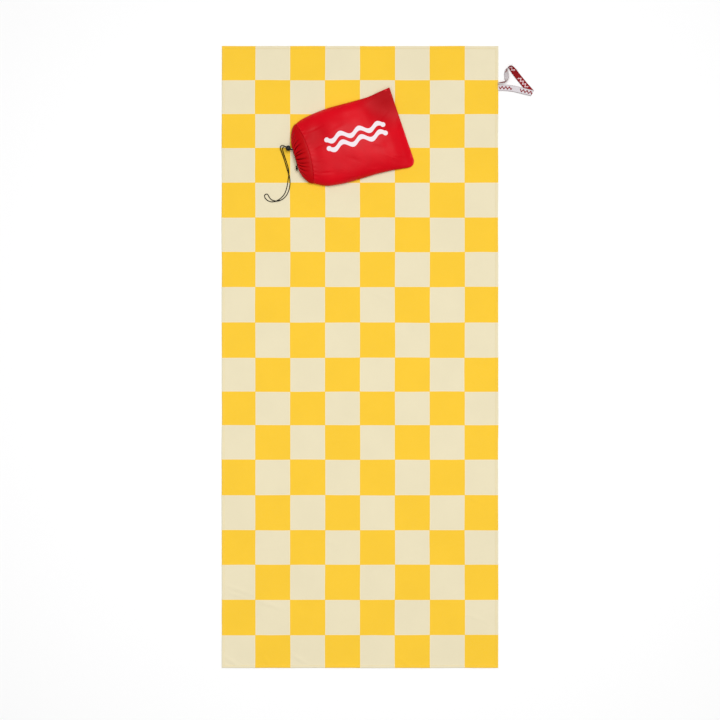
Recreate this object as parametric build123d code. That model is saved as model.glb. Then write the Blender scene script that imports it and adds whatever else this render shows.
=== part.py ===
"""A checked beach towel laid flat, with its woven hanging loop and a drawstring pouch lying on it.

Frame: the origin is the centre of the towel's underside, +X across the towel, +Y along it,
+Z up.  All sizes are in millimetres.
"""
import os
from math import cos, pi, radians, sin, tan

from build123d import *

# Towel
TOWEL_WIDTH = 800.0
TOWEL_LENGTH = 1800.0
CLOTH = 1.2
HEM_WIDTH = 8.0
HEM_THICKNESS = 2.0
THREAD_WIDTH = 0.8
THREAD_HEIGHT = 0.25
STITCH_INSET = HEM_WIDTH - 1.6

# Hanging loop: one woven tape, sewn by both ends into the right-hand hem
TAPE_WIDTH = 17.0
TAPE_THICKNESS = 0.7
TAPE_GAP = 0.3
FLOOR_GAP = 0.2
FOLD_HEIGHT = 1.4
LOOP_Y = 784.0

# Pouch: local u runs from its mouth to its bottom seam, local v across it
POUCH_X = 123.6
POUCH_Y = 664.8
POUCH_ANGLE = 16.0
SEAM_Z = 6.0
PANEL = 1.0
TOP_FULLNESS = 2.3
BOTTOM_FULLNESS = 4.0
CASING_U = -284.0
MOUTH_U = -326.0
SEAM_ALLOWANCE = 6.0
SEAM_THICKNESS = 0.5
BOTTOM_SEAM_LENGTH = 160.0
CASING_STITCH = 0.4

# Drawcord and cord lock
CORD = 2.6
CORD_RADIUS = CORD / 2
CORD_TUNNEL_RADIUS = 1.5
CORD_LINE_U = -322.6
CORD_EXIT_V = 24.7
KNOT_U = -329.6
KNOT_V = -30.2
FRONT_STRAND_Z = 14.4
BACK_STRAND_Z = 11.2
FRONT_RUN_Z = 20.4
BACK_RUN_Z = 4.7
LOCK_U = -335.0
LOCK_V = 32.0
LOCK_TURN = 135.5
LOCK_RADIUS = 7.25
LOCK_BOTTOM = CLOTH + 0.5
LOCK_TOP = 20.3
LOCK_FLOOR = 1.5
BUTTON_RADIUS = 4.8
BUTTON_CLEARANCE = 0.2
BUTTON_BOTTOM = 7.6
BUTTON_TOP = 23.8
BUTTON_TRAVEL = 3.0
CORD_CLEARANCE = 0.15
SPRING_WIRE = 0.5
SLOT_LOW = BACK_STRAND_Z - CORD_RADIUS - CORD_CLEARANCE
SLOT_HIGH = FRONT_STRAND_Z + CORD_RADIUS + CORD_CLEARANCE

# Outline of the pouch: (u, half width to +v, half width to -v, rise above the side seam, drop below it)
BAG = [
    (0, 112, 98, 1.6, 1.6),
    (-6, 119, 113, 3.2, 2.2),
    (-18, 118.5, 117, 8, 3.2),
    (-42, 116, 114.5, 17, 4.1),
    (-71, 112, 112, 27, 4.4),
    (-112, 111, 110, 36, 4.5),
    (-152, 112, 110.5, 40, 4.5),
    (-196, 112, 110, 41, 4.5),
    (-240, 108, 106, 38.5, 4.5),
    (CASING_U, 98.5, 94, 34, 3.9),
]
# Casing outside: (u, half width to +v, half width to -v, height of its split, top, bottom)
CASING_OUTSIDE = [
    (CASING_U, 98.5, 94, 6, 40, 2.1),
    (-297, 93, 86, 7.8, 37, 2.1),
    (-309, 81, 77, 9.4, 32, 2.1),
    (-318, 64, 64, 10.6, 27, 2.2),
    (-323, 48, 50, 11.2, 24, 2.3),
    (MOUTH_U, 34, 35, 11.5, 22, 2.6),
]
CASING_INSIDE = [
    (CASING_U, 97, 92.5, 6, 38.8, 3.1),
    (-297, 82, 76, 7.8, 31, 3.4),
    (-309, 52, 50, 9.4, 23, 5.2),
    (-318, 23, 23, 10.6, 17, 7.0),
    (-323, 22, 22, 11.2, 16, 7.4),
    (MOUTH_U, 22, 22, 11.5, 15.5, 7.5),
]

# Free loop of the drawcord, from the lock's upper strand round to its lower one
LOOP_REST_Z = CLOTH + CORD_RADIUS + 0.1
LOOP_HUMP_Z = LOOP_REST_Z + CORD + 0.7
LOOP_ROUTE = [
    (-219.3, 610.0, 14.1),
    (-225.2, 612.2, 12.6),
    (-230.0, 608.4, 10.4),
    (-229.8, 601.6, 7.9),
    (-225.8, 590.6, 4.9),
    (-220.0, 574.0, 3.0),
    (-213.8, 553.5, 3.2),
    (-208.8, 537.5, LOOP_HUMP_Z),
    (-204.6, 525.0, LOOP_HUMP_Z),
    (-202.0, 509.5, 3.0),
    (-203.0, 493.5, LOOP_REST_Z),
    (-206.8, 478.6, LOOP_REST_Z),
    (-213.2, 466.4, LOOP_REST_Z),
    (-223.2, 456.6, 3.0),
    (-234.8, 451.4, LOOP_HUMP_Z),
    (-244.0, 450.9, LOOP_HUMP_Z),
    (-254.4, 453.6, 3.0),
    (-261.2, 459.6, LOOP_REST_Z),
    (-265.4, 466.6, LOOP_REST_Z),
    (-270.9, 471.0, LOOP_REST_Z),
    (-277.2, 468.4, LOOP_REST_Z),
    (-277.8, 461.4, LOOP_REST_Z),
    (-272.6, 455.6, LOOP_REST_Z),
    (-265.0, 451.2, LOOP_REST_Z),
    (-255.6, 448.6, LOOP_REST_Z),
    (-245.6, 449.4, LOOP_REST_Z),
    (-236.0, 454.6, LOOP_REST_Z),
    (-226.8, 461.6, LOOP_REST_Z),
    (-218.8, 470.4, LOOP_REST_Z),
    (-213.6, 482.8, LOOP_REST_Z),
    (-210.0, 498.0, LOOP_REST_Z),
    (-208.0, 513.5, LOOP_REST_Z),
    (-205.4, 529.0, LOOP_REST_Z),
    (-206.6, 544.5, LOOP_REST_Z),
    (-211.8, 561.5, LOOP_REST_Z),
    (-217.4, 578.5, 3.0),
    (-222.4, 593.5, 4.9),
    (-224.6, 603.6, 7.2),
    (-219.0, 609.8, 10.3),
]


def rectangle_wire(centre, across, through):
    """A rectangular section from its centre and its two half vectors."""
    corners = [centre - across - through, centre + across - through,
               centre + across + through, centre - across + through]
    return Wire.make_polygon(corners, close=True)


def in_pouch_frame(shape):
    """Move a shape from the pouch's own u, v, z to the towel's frame."""
    return Location((POUCH_X, POUCH_Y, 0), (0, 0, POUCH_ANGLE)) * shape


def pouch_point(u, v, z):
    """One point of the pouch's own frame in the towel's frame."""
    return Vector(POUCH_X + u * cos(radians(POUCH_ANGLE)) - v * sin(radians(POUCH_ANGLE)),
                  POUCH_Y + u * sin(radians(POUCH_ANGLE)) + v * cos(radians(POUCH_ANGLE)), z)


def cord_radii(points, share=0.45):
    """The largest arc that each corner of a route takes: a share of its shorter run."""
    radii = []
    for before, corner, after in zip(points, points[1:], points[2:]):
        run_in = corner - before
        run_out = after - corner
        half_turn = radians(run_in.get_angle(run_out)) / 2
        radii.append(share * min(run_in.length, run_out.length) / tan(half_turn))
    return radii


def cord_tube(points, radius):
    """A round tube along straight runs joined by tangent arcs."""
    path = Wire(FilletPolyline(*points, radius=cord_radii(points)).edges())
    start = Plane(origin=points[0], z_dir=(points[1] - points[0]).normalized())
    return Solid.sweep(Wire.make_circle(radius, start), path=path)


# ---------------------------------------------------------------- towel

def towel_cloth():
    """The cloth and its turned hem, which is the same cloth folded over."""
    cloth = Pos(0, 0, CLOTH / 2) * Box(TOWEL_WIDTH, TOWEL_LENGTH, CLOTH)
    outside = Pos(0, 0, HEM_THICKNESS / 2) * Box(TOWEL_WIDTH, TOWEL_LENGTH, HEM_THICKNESS)
    inside = Box(TOWEL_WIDTH - 2 * HEM_WIDTH, TOWEL_LENGTH - 2 * HEM_WIDTH, 4 * HEM_THICKNESS)
    return cloth + (outside - inside)


def hem_stitch(length, x, y, turn):
    """One line of hem stitching on top of the hem, along X before it is turned."""
    line = Pos(0, 0, THREAD_HEIGHT / 2) * Box(length, THREAD_WIDTH, THREAD_HEIGHT)
    return Location((x, y, HEM_THICKNESS), (0, 0, turn)) * line


def loop_bartack():
    """Two dense bars of thread that hold the tape's ends in the hem."""
    bar_length = 12.0
    bar_width = 1.6
    inset = 2.2
    white_end_y = LOOP_Y - 4.5
    red_end_y = LOOP_Y + 9.5
    bars = []
    for y in (white_end_y, red_end_y):
        bar = Box(bar_width, bar_length, THREAD_HEIGHT)
        bars.append(Pos(TOWEL_WIDTH / 2 - inset, y, HEM_THICKNESS + THREAD_HEIGHT / 2) * bar)
    return Compound(bars)


# ---------------------------------------------------------------- hanging loop

def tape_section(x, y, z, heading, lean, stretch=1.0):
    """A cross-section of the tape, across its heading and leaning from flat (0) to on edge (90)."""
    right = Vector(sin(radians(heading)), -cos(radians(heading)), 0)
    across = right * cos(radians(lean)) + Vector(0, 0, 1) * sin(radians(lean))
    along = Vector(cos(radians(heading)), sin(radians(heading)), 0)
    through = along.cross(across).normalized()
    return rectangle_wire(Vector(x, y, z), across * (stretch * TAPE_WIDTH / 2),
                          through * (TAPE_THICKNESS / 2))


def hanging_loop():
    """The tape on edge out of the hem, over the top of the loop, flat, folded and flat again."""
    root_x = TOWEL_WIDTH / 2 + TAPE_GAP
    flat_z = FLOOR_GAP + TAPE_THICKNESS / 2
    on_edge = [
        (root_x, 792.8, 0, 86),
        (411, 793.4, 4, 97),
        (418.6, 794.8, 26, 96),
        (422.2, 797.6, 62, 76),
        (424.0, 808.2, 92, 46),
        (422.8, 820.8, 91, 52),
        (423.6, 831.0, 72, 70),
        (428.0, 837.0, 28, 92),
        (435.0, 837.4, -28, 128),
        (444.6, 828.0, -48, 158),
        (456.6, 812.6, -50, 176),
    ]
    sections = []
    for x, y, heading, lean in on_edge:
        z = flat_z + (TAPE_WIDTH / 2) * abs(sin(radians(lean)))
        sections.append(tape_section(x, y, z, heading, lean))
    red_heading = -48.0
    white_heading = 166.3
    fold_angle = (red_heading + white_heading) / 2
    fold_x = 498.6
    fold_y = 763.8
    stretch = 1 / cos(radians(white_heading - 90 - fold_angle))
    sections.append(tape_section(478.5, 786.1, flat_z, red_heading, 180))
    sections.append(tape_section(fold_x, fold_y, flat_z, fold_angle - 90, 180, stretch))
    sections.append(fold_edge(fold_x, fold_y, flat_z, fold_angle, stretch))
    sections.append(tape_section(fold_x, fold_y, flat_z + FOLD_HEIGHT, fold_angle + 90, 0, stretch))
    white_leg = [
        (478.6, 768.7, FOLD_HEIGHT, 166),
        (462.0, 772.6, 0.9, 167),
        (442.0, 777.0, 0.5, 170),
        (420.0, 779.3, 0.5, 176),
        (root_x, 779.8, 0.5, 180),
    ]
    for x, y, rise, heading in white_leg:
        sections.append(tape_section(x, y, flat_z + rise, heading, 0))
    return Solid.make_loft(sections, ruled=True)


def fold_edge(x, y, low_z, fold_angle, stretch):
    """The section at the very edge of the fold, where the tape turns straight up."""
    along_fold = Vector(cos(radians(fold_angle)), sin(radians(fold_angle)), 0)
    outward = Vector(sin(radians(fold_angle)), -cos(radians(fold_angle)), 0)
    centre = Vector(x, y, low_z + FOLD_HEIGHT / 2) + outward * (FOLD_HEIGHT / 2)
    return rectangle_wire(centre, along_fold * (stretch * TAPE_WIDTH / 2),
                          outward * (-TAPE_THICKNESS / 2))


# ---------------------------------------------------------------- pouch

def half_arch(u, plus, minus, base, height, fullness):
    """The points of half a superellipse over (or, with a negative height, under) its base."""
    steps = 12
    points = []
    for step in range(steps + 1):
        angle = radians(180 - 180 * step / steps)
        reach = plus if step * 2 > steps else minus
        across = abs(cos(angle)) ** (2 / fullness) * (1 if cos(angle) > 0 else -1)
        points.append(Vector(u, reach * across, base + height * abs(sin(angle)) ** (2 / fullness)))
    return points


def crescent(outer, inner):
    """A closed section between an outer and an inner arch."""
    edges = [Spline(*outer), Line(outer[-1], inner[-1]),
             Spline(*reversed(inner)), Line(inner[0], outer[0])]
    return Wire([edge.edge() for edge in edges])


def bag_sections(side, inset=PANEL, grow=0.0, stations=None):
    """Sections of one panel: side is +1 for the front (upper) panel, -1 for the back one."""
    sections = []
    for u, plus, minus, rise, drop in stations or BAG:
        height = side * (rise if side > 0 else drop)
        fullness = TOP_FULLNESS if side > 0 else BOTTOM_FULLNESS
        outer = half_arch(u, plus + grow, minus + grow, SEAM_Z, height + side * grow, fullness)
        inner = half_arch(u, plus - inset, minus - inset, SEAM_Z, height - side * inset, fullness)
        sections.append(crescent(outer, inner))
    return sections


def pouch_panel(side):
    """The front or the back panel, a shell open towards the mouth and along the side seams."""
    return in_pouch_frame(Solid.make_loft(bag_sections(side), ruled=True))


def casing_half(side):
    """The gathered casing round the mouth: its front (+1) or back (-1) half, before the cord's tunnel."""
    sections = []
    for outside, inside in zip(CASING_OUTSIDE, CASING_INSIDE):
        u, plus, minus, split, top, bottom = outside
        end = top if side > 0 else bottom
        outer = half_arch(u, plus, minus, split, end - split, TOP_FULLNESS)
        u, plus, minus, split, top, bottom = inside
        end = top if side > 0 else bottom
        inner = half_arch(u, plus, minus, split, end - split, TOP_FULLNESS)
        sections.append(crescent(outer, inner))
    return Solid.make_loft(sections, ruled=True)


def casing_strand(strand_z, run_z):
    """Route of one strand: from the knot, round the casing and straight through the cord lock."""
    lead_in = 3.2
    lock_run = 2 * LOCK_RADIUS + lead_in
    turn_u = LOCK_U - (LOCK_RADIUS + lead_in) * cos(radians(LOCK_TURN))
    turn_v = LOCK_V - (LOCK_RADIUS + lead_in) * sin(radians(LOCK_TURN))
    return [
        Vector(KNOT_U, KNOT_V, strand_z),
        Vector(KNOT_U, -CORD_EXIT_V, strand_z),
        Vector(CORD_LINE_U, -CORD_EXIT_V, strand_z),
        Vector(CORD_LINE_U, -CORD_EXIT_V, run_z),
        Vector(CORD_LINE_U, turn_v, run_z),
        Vector(CORD_LINE_U, turn_v, strand_z),
        Vector(turn_u, turn_v, strand_z),
        Vector(turn_u + lock_run * cos(radians(LOCK_TURN)),
               turn_v + lock_run * sin(radians(LOCK_TURN)), strand_z),
    ]


def casing(side):
    """One half of the casing with the drawcord's tunnel through it."""
    half = casing_half(side)
    for strand_z, run_z in ((FRONT_STRAND_Z, FRONT_RUN_Z), (BACK_STRAND_Z, BACK_RUN_Z)):
        half = half - cord_tube(casing_strand(strand_z, run_z)[1:7], CORD_TUNNEL_RADIUS)
    solids = sorted(half.solids(), key=lambda solid: solid.volume)
    return in_pouch_frame(solids[-1])


def casing_stitch(side):
    """The line of stitching round the casing seam, proud of the casing's outer face."""
    last = BAG[-1]
    seam_gap = 0.05
    seam_end = 1.05
    stations = [(last[0] - place, *last[1:]) for place in (seam_gap, seam_end)]
    return in_pouch_frame(Solid.make_loft(
        bag_sections(side, inset=0, grow=CASING_STITCH, stations=stations), ruled=True))


def side_seam(side):
    """The seam allowance inside one long side, a strip that follows the panels' edge."""
    gap = 1.0
    outer = []
    inner = []
    for u, plus, minus, _, _ in BAG[2:]:
        reach = plus if side > 0 else minus
        outer.append((u, side * (reach - PANEL - gap)))
        inner.append((u, side * (reach - PANEL - gap - SEAM_ALLOWANCE)))
    strip = make_face(Polyline(*outer, *reversed(inner), close=True))
    low_z = SEAM_Z - SEAM_THICKNESS / 2
    return in_pouch_frame(Pos(0, 0, low_z) * extrude(strip, SEAM_THICKNESS, dir=(0, 0, 1)))


def bottom_seam():
    """The seam allowance across the bottom end, between the two panels."""
    strip = Box(SEAM_ALLOWANCE, BOTTOM_SEAM_LENGTH, SEAM_THICKNESS)
    return in_pouch_frame(Pos(-SEAM_ALLOWANCE / 2, 0, SEAM_Z) * strip)


def buttonhole(side):
    """The worked edge of the hole that the two strands come out of."""
    rim = 1.0
    depth = 0.5
    middle_z = (FRONT_STRAND_Z + BACK_STRAND_Z) / 2
    tall = FRONT_STRAND_Z - BACK_STRAND_Z + 2 * CORD_TUNNEL_RADIUS
    wide = 2 * CORD_TUNNEL_RADIUS + 0.4
    outline = RectangleRounded(tall + 2 * rim, wide + 2 * rim, wide / 2 + 0.6)
    hole = RectangleRounded(tall, wide, wide / 2 - 0.05)
    ring = extrude(outline - hole, depth)
    return in_pouch_frame(Location((MOUTH_U, side * CORD_EXIT_V, middle_z), (0, -90, 0)) * ring)


# ---------------------------------------------------------------- drawcord and lock

def drawcord_casing():
    """The cord's two strands in the casing and through the lock."""
    strands = []
    for strand_z, run_z in ((FRONT_STRAND_Z, FRONT_RUN_Z), (BACK_STRAND_Z, BACK_RUN_Z)):
        strands.append(in_pouch_frame(cord_tube(casing_strand(strand_z, run_z), CORD_RADIUS)))
    return Compound(strands)


def drawcord_knot():
    """The stopper knot where the cord's two ends are tied, with one cut end; it grips both strands."""
    knot_radius = 3.4
    end_length = 6.0
    end_drop = 1.2
    grip = 1.4
    middle_z = (FRONT_STRAND_Z + BACK_STRAND_Z) / 2
    knot = Sphere(knot_radius)
    tail = Pos(0, -knot_radius, -end_drop) * Rot(90, 0, 0) * Cylinder(CORD_RADIUS, end_length)
    centre_v = KNOT_V - knot_radius + grip
    return in_pouch_frame(Pos(KNOT_U, centre_v, middle_z) * (knot + tail))


def lock_frame(shape):
    """Move a shape from the lock's own frame, cord along X, to the towel's frame."""
    return in_pouch_frame(Location((LOCK_U, LOCK_V, 0), (0, 0, LOCK_TURN)) * shape)


def cord_slot(low, high, length):
    """The passage for the two strands, one above the other."""
    width = CORD + 2 * CORD_CLEARANCE
    return Pos(0, 0, (low + high) / 2) * Box(length, width, high - low)


def cord_lock_barrel():
    """The lock's outer barrel, blind below, with its cord passage."""
    rounding = 1.4
    body = Cylinder(LOCK_RADIUS, LOCK_TOP - LOCK_BOTTOM, align=(Align.CENTER, Align.CENTER, Align.MIN))
    body = fillet(body.edges().filter_by(GeomType.CIRCLE), rounding)
    bore = Pos(0, 0, LOCK_FLOOR) * Cylinder(BUTTON_RADIUS + BUTTON_CLEARANCE, LOCK_TOP,
                                            align=(Align.CENTER, Align.CENTER, Align.MIN))
    shell = Pos(0, 0, LOCK_BOTTOM) * (body - bore)
    return lock_frame(shell - cord_slot(SLOT_LOW, SLOT_HIGH, 4 * LOCK_RADIUS))


def cord_lock_button():
    """The spring-loaded plunger, whose slot is longer than the barrel's by its travel."""
    rounding = 1.2
    height = BUTTON_TOP - BUTTON_BOTTOM
    body = Cylinder(BUTTON_RADIUS, height, align=(Align.CENTER, Align.CENTER, Align.MIN))
    body = fillet(body.edges().filter_by(GeomType.CIRCLE).sort_by(Axis.Z)[-1], rounding)
    button = Pos(0, 0, BUTTON_BOTTOM) * body
    return lock_frame(button - cord_slot(SLOT_LOW, SLOT_HIGH + BUTTON_TRAVEL, 4 * LOCK_RADIUS))


def cord_lock_spring():
    """The compression spring between the barrel's floor and the button."""
    end_gap = 0.05
    low = LOCK_BOTTOM + LOCK_FLOOR + SPRING_WIRE / 2 + end_gap
    high = BUTTON_BOTTOM - SPRING_WIRE / 2 - end_gap
    turns = 2.5
    coil_radius = 3.4
    coil = Helix(pitch=(high - low) / turns, height=high - low, radius=coil_radius)
    wire = Wire.make_circle(SPRING_WIRE / 2, Plane(origin=coil @ 0, z_dir=coil % 0))
    return lock_frame(Pos(0, 0, low) * Solid.sweep(wire, path=Wire([coil.edge()]), is_frenet=True))


def drawcord_loop():
    """The free loop, out of the lock by the upper strand and back into it by the lower one."""
    joint_gap = 0.12
    exit_u = LOCK_U + (LOCK_RADIUS + joint_gap) * cos(radians(LOCK_TURN))
    exit_v = LOCK_V + (LOCK_RADIUS + joint_gap) * sin(radians(LOCK_TURN))
    points = [pouch_point(exit_u, exit_v, FRONT_STRAND_Z)]
    points += [Vector(*point) for point in LOOP_ROUTE]
    points.append(pouch_point(exit_u, exit_v, BACK_STRAND_Z))
    tube = cord_tube(points, CORD_RADIUS)
    path = FilletPolyline(*points, radius=cord_radii(points))
    print("loop radii:", [round(radius, 1) for radius in cord_radii(points)])
    print("loop runs:", [round((b - a).length, 1) for a, b in zip(points, points[1:])])
    section = pi * CORD_RADIUS ** 2
    print("loop length", round(path.length, 1), "tube volume over section times length",
          round(tube.volume / (section * path.length), 4))
    print("exit", points[0], "and", points[-1])
    return tube


# ---------------------------------------------------------------- write the parts

end_stitch = TOWEL_WIDTH - HEM_WIDTH
side_stitch = TOWEL_LENGTH - 3 * HEM_WIDTH
stitch_x = TOWEL_WIDTH / 2 - STITCH_INSET
stitch_y = TOWEL_LENGTH / 2 - STITCH_INSET

PARTS = {
    "towel_cloth": towel_cloth(),
    "hem_stitch_top": hem_stitch(end_stitch, 0, stitch_y, 0),
    "hem_stitch_bottom": hem_stitch(end_stitch, 0, -stitch_y, 0),
    "hem_stitch_left": hem_stitch(side_stitch, -stitch_x, 0, 90),
    "hem_stitch_right": hem_stitch(side_stitch, stitch_x, 0, 90),
    "loop_bartack": loop_bartack(),
    "hanging_loop": hanging_loop(),
    "pouch_front_panel": pouch_panel(1),
    "pouch_back_panel": pouch_panel(-1),
    "casing_front": casing(1),
    "casing_back": casing(-1),
    "casing_stitch_front": casing_stitch(1),
    "casing_stitch_back": casing_stitch(-1),
    "side_seam_upper": side_seam(1),
    "side_seam_lower": side_seam(-1),
    "bottom_seam": bottom_seam(),
    "buttonhole_lock_side": buttonhole(1),
    "buttonhole_knot_side": buttonhole(-1),
    "drawcord_casing": drawcord_casing(),
    "drawcord_loop": drawcord_loop(),
    "drawcord_knot": drawcord_knot(),
    "cord_lock_barrel": cord_lock_barrel(),
    "cord_lock_button": cord_lock_button(),
    "cord_lock_spring": cord_lock_spring(),
}

os.makedirs("parts", exist_ok=True)
for node, shape in PARTS.items():
    export_step(shape, f"parts/{node}.step")
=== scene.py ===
"""Looks of a checked beach towel with its woven hanging loop and a drawstring pouch lying on it.

Everything is in metres in the frame's axes: +X across the towel, +Y along it, +Z up.  The pouch has its
own coordinates: u from its mouth towards its bottom seam, v across it.
"""
from math import cos, pi, radians, sin

import bpy
import numpy as np
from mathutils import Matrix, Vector, noise


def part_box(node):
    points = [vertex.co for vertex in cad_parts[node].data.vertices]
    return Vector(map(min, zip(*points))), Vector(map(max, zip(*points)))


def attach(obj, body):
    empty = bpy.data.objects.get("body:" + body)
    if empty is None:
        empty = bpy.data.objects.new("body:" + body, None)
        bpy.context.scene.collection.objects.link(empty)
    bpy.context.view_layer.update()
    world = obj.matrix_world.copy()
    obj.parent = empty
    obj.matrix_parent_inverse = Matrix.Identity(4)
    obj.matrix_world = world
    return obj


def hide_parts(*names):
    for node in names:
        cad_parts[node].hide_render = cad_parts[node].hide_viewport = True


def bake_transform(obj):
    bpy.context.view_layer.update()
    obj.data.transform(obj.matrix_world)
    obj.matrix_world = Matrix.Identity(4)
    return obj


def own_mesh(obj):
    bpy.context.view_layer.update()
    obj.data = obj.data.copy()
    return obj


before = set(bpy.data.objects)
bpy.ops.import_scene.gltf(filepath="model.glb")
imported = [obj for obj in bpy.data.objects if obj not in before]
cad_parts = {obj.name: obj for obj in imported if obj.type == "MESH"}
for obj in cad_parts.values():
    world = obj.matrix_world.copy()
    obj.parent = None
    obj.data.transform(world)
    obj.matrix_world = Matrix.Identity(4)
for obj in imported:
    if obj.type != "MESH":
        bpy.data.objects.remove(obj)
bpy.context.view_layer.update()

MM = 0.001
UP = (0, 0, 1.0)

# -- places, from the frame

towel_low, towel_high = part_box("towel_cloth")
HALF_WIDTH = (towel_high.x - towel_low.x) / 2
HALF_LENGTH = (towel_high.y - towel_low.y) / 2
HEM_TOP = towel_high.z
CLOTH_TOP = 1.2 * MM
STITCH_INSET = 6.4 * MM
CHECK = HALF_WIDTH / 4

POUCH_ORIGIN = Vector((123.6 * MM, 664.8 * MM, 0))
POUCH_TURN = radians(16)
POUCH_FLOOR = 1.5 * MM
SEAM_Z = 6 * MM
CORD_DIAMETER = 2.6 * MM

# Light that a flat white surface sends back, so that colours can be given as they look
LIGHT_LEVEL = 1.16


# -- small helpers

def linear(red, green, blue):
    """A colour as it looks, 0 to 255, as the base colour that gives it under this scene's light."""
    seen = np.array([red, green, blue]) / 255
    light = np.where(seen <= 0.04045, seen / 12.92, ((seen + 0.055) / 1.055) ** 2.4)
    return (*np.minimum(light / LIGHT_LEVEL, 0.95).tolist(), 1)


def rough(x, y, z):
    """Smooth noise at a place."""
    return noise.noise(Vector((x, y, z)))


def smooth_step(value, low, high):
    """0 below low, 1 above high and smooth between."""
    t = np.clip((value - low) / (high - low), 0, 1)
    return t * t * (3 - 2 * t)


def smooth_curve(points, count):
    """Evenly spaced points on a Catmull-Rom curve through the given points."""
    points = np.array(points, float)
    ends = [2 * points[0] - points[1], *points, 2 * points[-1] - points[-2]]
    steps = 24
    line = [0.5 * (2 * p1 + (p2 - p0) * t + (2 * p0 - 5 * p1 + 4 * p2 - p3) * t ** 2
                   + (3 * p1 - p0 - 3 * p2 + p3) * t ** 3)
            for p0, p1, p2, p3 in zip(ends, ends[1:], ends[2:], ends[3:])
            for t in np.arange(steps) / steps]
    return even_points(np.array([*line, points[-1]]), count)


def run_lengths(line):
    """Distance along a polyline at each of its points."""
    return np.concatenate([[0], np.cumsum(np.linalg.norm(np.diff(line, axis=0), axis=1))])


def even_points(line, count):
    """A polyline's points, spaced evenly by length."""
    along = run_lengths(line)
    wanted = np.linspace(0, along[-1], count)
    return np.stack([np.interp(wanted, along, column) for column in line.T], axis=1)


def smooth_value(wanted, places, values):
    """A value read from the smooth curve through (place, value) pairs; the places run downwards."""
    table = smooth_curve(list(zip(places, values)), 400)[::-1]
    return np.interp(wanted, table[:, 0], table[:, 1])


def grid_faces(rows, columns, closed=False, flip=False):
    """Quads of a grid of vertices numbered row by row."""
    index = np.arange(rows * columns).reshape(rows, columns)
    if closed:
        index = np.concatenate([index, index[:, :1]], axis=1)
    corners = [index[:-1, :-1], index[:-1, 1:], index[1:, 1:], index[1:, :-1]]
    faces = np.stack(corners, axis=-1).reshape(-1, 4)
    return faces[:, ::-1] if flip else faces


def tube_faces(rings, sides, flip=True):
    """Faces of a tube with both ends closed."""
    last = rings * sides - 1
    quads = grid_faces(rings, sides, closed=True, flip=flip).tolist()
    return [*quads, list(range(sides)), list(range(last, last - sides, -1))]


def sheet_faces(rows, columns, flip=False):
    """Faces of a closed sheet made of two equal grids: the first grid's, the second's and the rim's."""
    count = rows * columns
    index = np.arange(count).reshape(rows, columns)
    rim = np.concatenate([index[0], index[1:, -1], index[-1, -2::-1], index[-2:0:-1, 0]])
    before = np.roll(rim, 1)
    edge = np.stack([rim, before, before + count, rim + count], axis=1)
    return (grid_faces(rows, columns, flip=flip), grid_faces(rows, columns, flip=not flip) + count,
            edge[:, ::-1] if flip else edge)


def make_piece(name, vertices, faces, materials, node=None, body="pouch", smooth=True, face_slots=()):
    """A mesh object which stands for a node and rides on a body where they are given."""
    mesh = bpy.data.meshes.new(name)
    points = np.asarray(vertices, float).reshape(-1, 3)
    mesh.from_pydata(points.tolist(), [], [list(map(int, face)) for face in faces])
    mesh.update()
    for material in materials:
        mesh.materials.append(material)
    mesh.polygons.foreach_set("use_smooth", [smooth] * len(mesh.polygons))
    if face_slots:
        mesh.polygons.foreach_set("material_index", face_slots)
    piece = bpy.data.objects.new(name, mesh)
    bpy.context.scene.collection.objects.link(piece)
    if body:
        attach(piece, body)
    if node:
        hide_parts(node)
    return piece


def pouch_to_frame(points):
    """Points in the pouch's own u, v, z turned and moved to the frame."""
    u, v, z = np.moveaxis(np.asarray(points, float), -1, 0)
    return np.stack([POUCH_ORIGIN.x + u * cos(POUCH_TURN) - v * sin(POUCH_TURN),
                     POUCH_ORIGIN.y + u * sin(POUCH_TURN) + v * cos(POUCH_TURN), z], axis=-1)


def grid_normals(grid):
    """Unit normals of a grid of points (rows, columns, 3), up where rows run towards -u and columns to +v."""
    normals = np.cross(np.gradient(grid, axis=1), np.gradient(grid, axis=0))
    return normals / np.maximum(np.linalg.norm(normals, axis=2, keepdims=True), 1e-12)


# -- material building blocks

class Value:
    """A number that a material's nodes work out at each point, with arithmetic of its own."""

    def __init__(self, shader, socket):
        self.shader = shader
        self.socket = socket

    def of(self, operation, other=0.0):
        """The result of a Math node."""
        node = self.shader.node("Math", {0: self, 1: other}, operation=operation)
        return Value(self.shader, node.outputs[0])

    def __add__(self, other):
        return self.of("ADD", other)

    def __sub__(self, other):
        return self.of("SUBTRACT", other)

    def __mul__(self, other):
        return self.of("MULTIPLY", other)

    def __abs__(self):
        return self.of("ABSOLUTE")


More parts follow.
